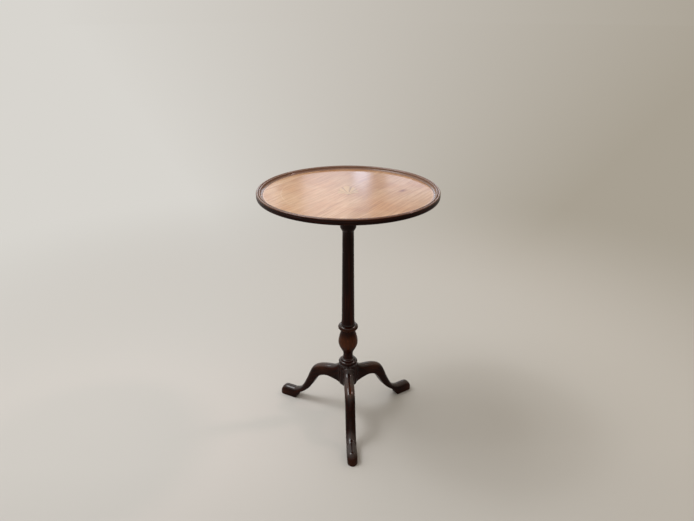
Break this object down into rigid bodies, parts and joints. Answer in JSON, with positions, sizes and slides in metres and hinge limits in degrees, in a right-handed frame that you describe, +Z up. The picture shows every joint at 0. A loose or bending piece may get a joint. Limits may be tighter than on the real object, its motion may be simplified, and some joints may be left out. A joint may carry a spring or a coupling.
{
  "type": "tripod occasional table",
  "caption": "Round dished table top with a shell inlay on a turned pillar and cabriole legs; the top tips upright on a block hinge and a spring catch holds it level.",
  "frame": {"origin": "on the floor, under the axis of the pillar", "axes": "+Z up along the pillar, -Y towards the front leg; the top tips about an axis along X"},
  "size_m": [0.47, 0.47, 0.7],
  "materials": {
    "mahogany": "dark red-brown polish",
    "veneer": "faded golden-brown polish",
    "boxwood": "pale polish",
    "brass": "aged",
    "steel": "plain",
    "iron": "dark forged"
  },
  "bodies": {
    "base": {"pillar": "mahogany", "leg_front": "mahogany", "leg_right": "mahogany", "leg_left": "mahogany", "spider_plate": "iron", "spider_screw_1": "iron", "spider_screw_2": "iron", "spider_screw_3": "iron", "tilt_block": "mahogany", "tenon_wedge": "mahogany", "keeper_plate": "brass", "keeper_screw_1": "brass", "keeper_screw_2": "brass"},
    "top": {"top_board": "mahogany", "rim_moulding": "mahogany", "bearer_left": "mahogany", "bearer_right": "mahogany", "field_veneer": "veneer", "inlay_ray_1": "boxwood", "inlay_ray_2": "boxwood", "inlay_ray_3": "boxwood", "inlay_ray_4": "boxwood", "inlay_ray_5": "boxwood", "inlay_ray_6": "boxwood", "inlay_ray_7": "boxwood", "inlay_base": "boxwood", "catch_case": "brass", "catch_screw_1": "brass", "catch_screw_2": "brass", "catch_spring": "steel", "bearer_screw_1": "steel", "bearer_screw_2": "steel", "bearer_screw_3": "steel", "bearer_screw_4": "steel"},
    "catch_bolt": {"catch_bolt": "brass", "catch_knob": "brass"}
  },
  "joints": [
    {"name": "top_tilt", "type": "hinge", "parent": "base", "child": "top", "pos_m": [0, -0.046, 0.6615], "axis": [1, 0, 0], "range_deg": [0, 90]},
    {"name": "catch_slide", "type": "slide", "parent": "top", "child": "catch_bolt", "axis": [0, -1, 0], "range_m": [0, 0.008], "stiffness_N_per_m": 200, "springref_m": 0.008, "deforming": ["catch_spring"]}
  ]
}
